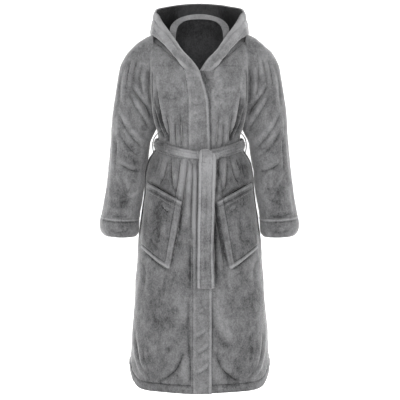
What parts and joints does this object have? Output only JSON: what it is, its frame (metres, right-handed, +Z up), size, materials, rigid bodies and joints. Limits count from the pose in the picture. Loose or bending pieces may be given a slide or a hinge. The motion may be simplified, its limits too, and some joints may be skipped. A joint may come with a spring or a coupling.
{
  "type": "hooded bathrobe",
  "caption": "Long plush hooded bathrobe with a wrap front, tie belt, patch pockets and wide stitched cuffs, hanging in its worn shape.",
  "frame": {"origin": "shoulder seat: where the wearer's shoulders or a hanger carry the robe, on its middle plane", "axes": "+Z up towards the hood, -Y out of the front, -X towards the wearer's right"},
  "size_m": [0.687, 0.4131, 1.323],
  "materials": {
    "body_fleece": "brushed grey pile",
    "belt_fleece": "brushed light grey pile",
    "tape": "woven grey tape",
    "loop_cord": "thin grey thread cord"
  },
  "bodies": {
    "torso": {"back_panel": "body_fleece", "front_right_upper": "body_fleece", "front_left_upper": "body_fleece", "front_band_right_upper": "body_fleece", "front_band_left_upper": "body_fleece", "neck_tape": "tape", "belt_wrap": "belt_fleece", "belt_knot": "belt_fleece", "belt_loop_right": "loop_cord", "belt_loop_left": "loop_cord", "hanger_loop": "tape"},
    "sleeve_right": {"sleeve_right": "body_fleece", "cuff_right": "body_fleece"},
    "sleeve_left": {"sleeve_left": "body_fleece", "cuff_left": "body_fleece"},
    "hood": {"hood_right_half": "body_fleece", "hood_left_half": "body_fleece"},
    "skirt_right": {"front_right_skirt": "body_fleece", "front_band_right_lower": "body_fleece", "pocket_right": "body_fleece", "pocket_hem_right": "body_fleece"},
    "skirt_left": {"front_left_skirt": "body_fleece", "front_band_left_lower": "body_fleece", "pocket_left": "body_fleece", "pocket_hem_left": "body_fleece"},
    "tail_outer": {"belt_tail_outer": "belt_fleece"},
    "tail_inner": {"belt_tail_inner": "belt_fleece"}
  },
  "joints": [
    {"name": "sleeve_right_raise", "type": "hinge", "parent": "torso", "child": "sleeve_right", "pos_m": [-0.172, 0, 0.015], "axis": [0, 1, 0], "range_deg": [0, 30]},
    {"name": "sleeve_left_raise", "type": "hinge", "parent": "torso", "child": "sleeve_left", "pos_m": [0.172, 0, 0.015], "axis": [0, -1, 0], "range_deg": [0, 30]},
    {"name": "hood_raise", "type": "hinge", "parent": "torso", "child": "hood", "pos_m": [0, -0.128, -0.09], "axis": [1, 0, 0], "range_deg": [0, 20]},
    {"name": "skirt_right_swing", "type": "hinge", "parent": "torso", "child": "skirt_right", "pos_m": [0, -0.095, -0.375], "axis": [-1, 0, 0], "range_deg": [0, 12]},
    {"name": "skirt_left_swing", "type": "hinge", "parent": "torso", "child": "skirt_left", "pos_m": [0, -0.095, -0.375], "axis": [-1, 0, 0], "range_deg": [0, 8.4]},
    {"name": "tail_outer_swing", "type": "hinge", "parent": "skirt_right", "child": "tail_outer", "pos_m": [0, -0.138, -0.384], "axis": [-1, 0, 0], "range_deg": [0, 45]},
    {"name": "tail_inner_swing", "type": "hinge", "parent": "skirt_right", "child": "tail_inner", "pos_m": [0, -0.138, -0.384], "axis": [-1, 0, 0], "range_deg": [0, 40.5]}
  ],
  "couplings": [
    {"joint": "skirt_left_swing", "follows": "skirt_right_swing", "ratio": 0.7},
    {"joint": "tail_inner_swing", "follows": "tail_outer_swing", "ratio": 0.9}
  ]
}
